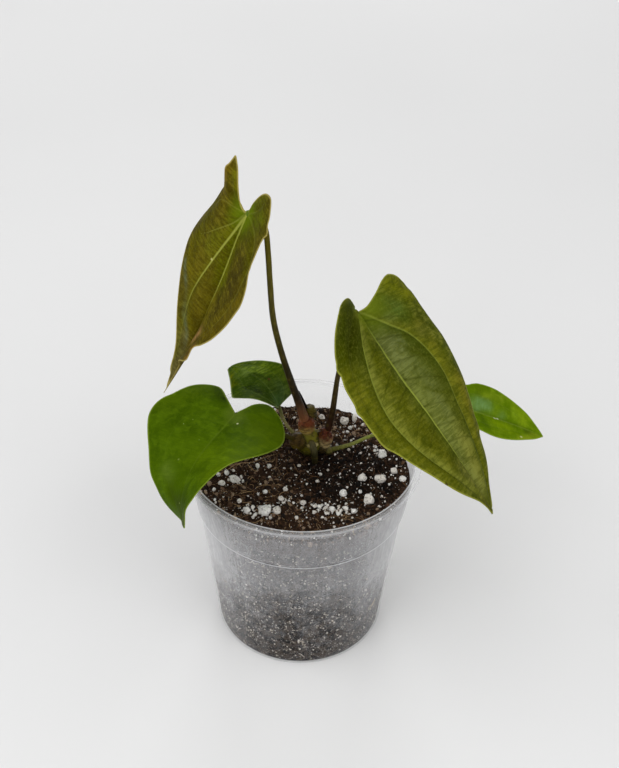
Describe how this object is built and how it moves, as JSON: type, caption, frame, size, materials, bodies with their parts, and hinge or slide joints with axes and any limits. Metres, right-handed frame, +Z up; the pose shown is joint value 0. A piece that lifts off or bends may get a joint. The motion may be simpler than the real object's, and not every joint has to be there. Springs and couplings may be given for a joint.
{
  "type": "potted aroid house plant",
  "caption": "Young napo anthurium with heart-shaped leathery leaves on slim stalks, growing from a short knobbly crown in a clear tapered nursery pot of chunky mix.",
  "frame": {"origin": "centre of the pot's flat underside", "axes": "+Z up along the pot's axis; the picture was taken from the -Y side, with +X to its right"},
  "size_m": [0.1968, 0.1333, 0.2564],
  "materials": {
    "clear_plastic": "thin clear plastic, slightly hazy, smooth",
    "potting_mix": "moist peat and coco fibre, rough, matte",
    "perlite": "matte white expanded grain",
    "crown": "knobbly green and red-brown stem, satin",
    "root": "grey-green, matte",
    "dry_sheath": "dry, fibrous, matte",
    "stalk": "smooth, satin",
    "leaf_blade": "leathery green leaf, semi-gloss"
  },
  "bodies": {
    "root": {"nursery_pot": "clear_plastic", "potting_mix": "potting_mix", "perlite_grain_01": "perlite", "perlite_grain_02": "perlite", "perlite_grain_03": "perlite", "perlite_grain_04": "perlite", "perlite_grain_05": "perlite", "perlite_grain_06": "perlite", "perlite_grain_07": "perlite", "perlite_grain_08": "perlite", "perlite_grain_09": "perlite", "perlite_grain_10": "perlite", "perlite_grain_11": "perlite", "perlite_grain_12": "perlite", "perlite_grain_13": "perlite", "perlite_grain_14": "perlite", "perlite_grain_15": "perlite", "perlite_grain_16": "perlite", "perlite_grain_17": "perlite", "perlite_grain_18": "perlite", "crown": "crown", "aerial_root": "root", "dry_sheath": "dry_sheath", "petiole_tall_left": "stalk", "blade_tall_left": "leaf_blade", "petiole_tall_right": "stalk", "blade_tall_right": "leaf_blade", "petiole_front_left": "stalk", "blade_front_left": "leaf_blade", "petiole_back_left": "stalk", "blade_back_left": "leaf_blade", "petiole_right_back": "stalk", "blade_right_back": "leaf_blade"}
  },
  "joints": []
}
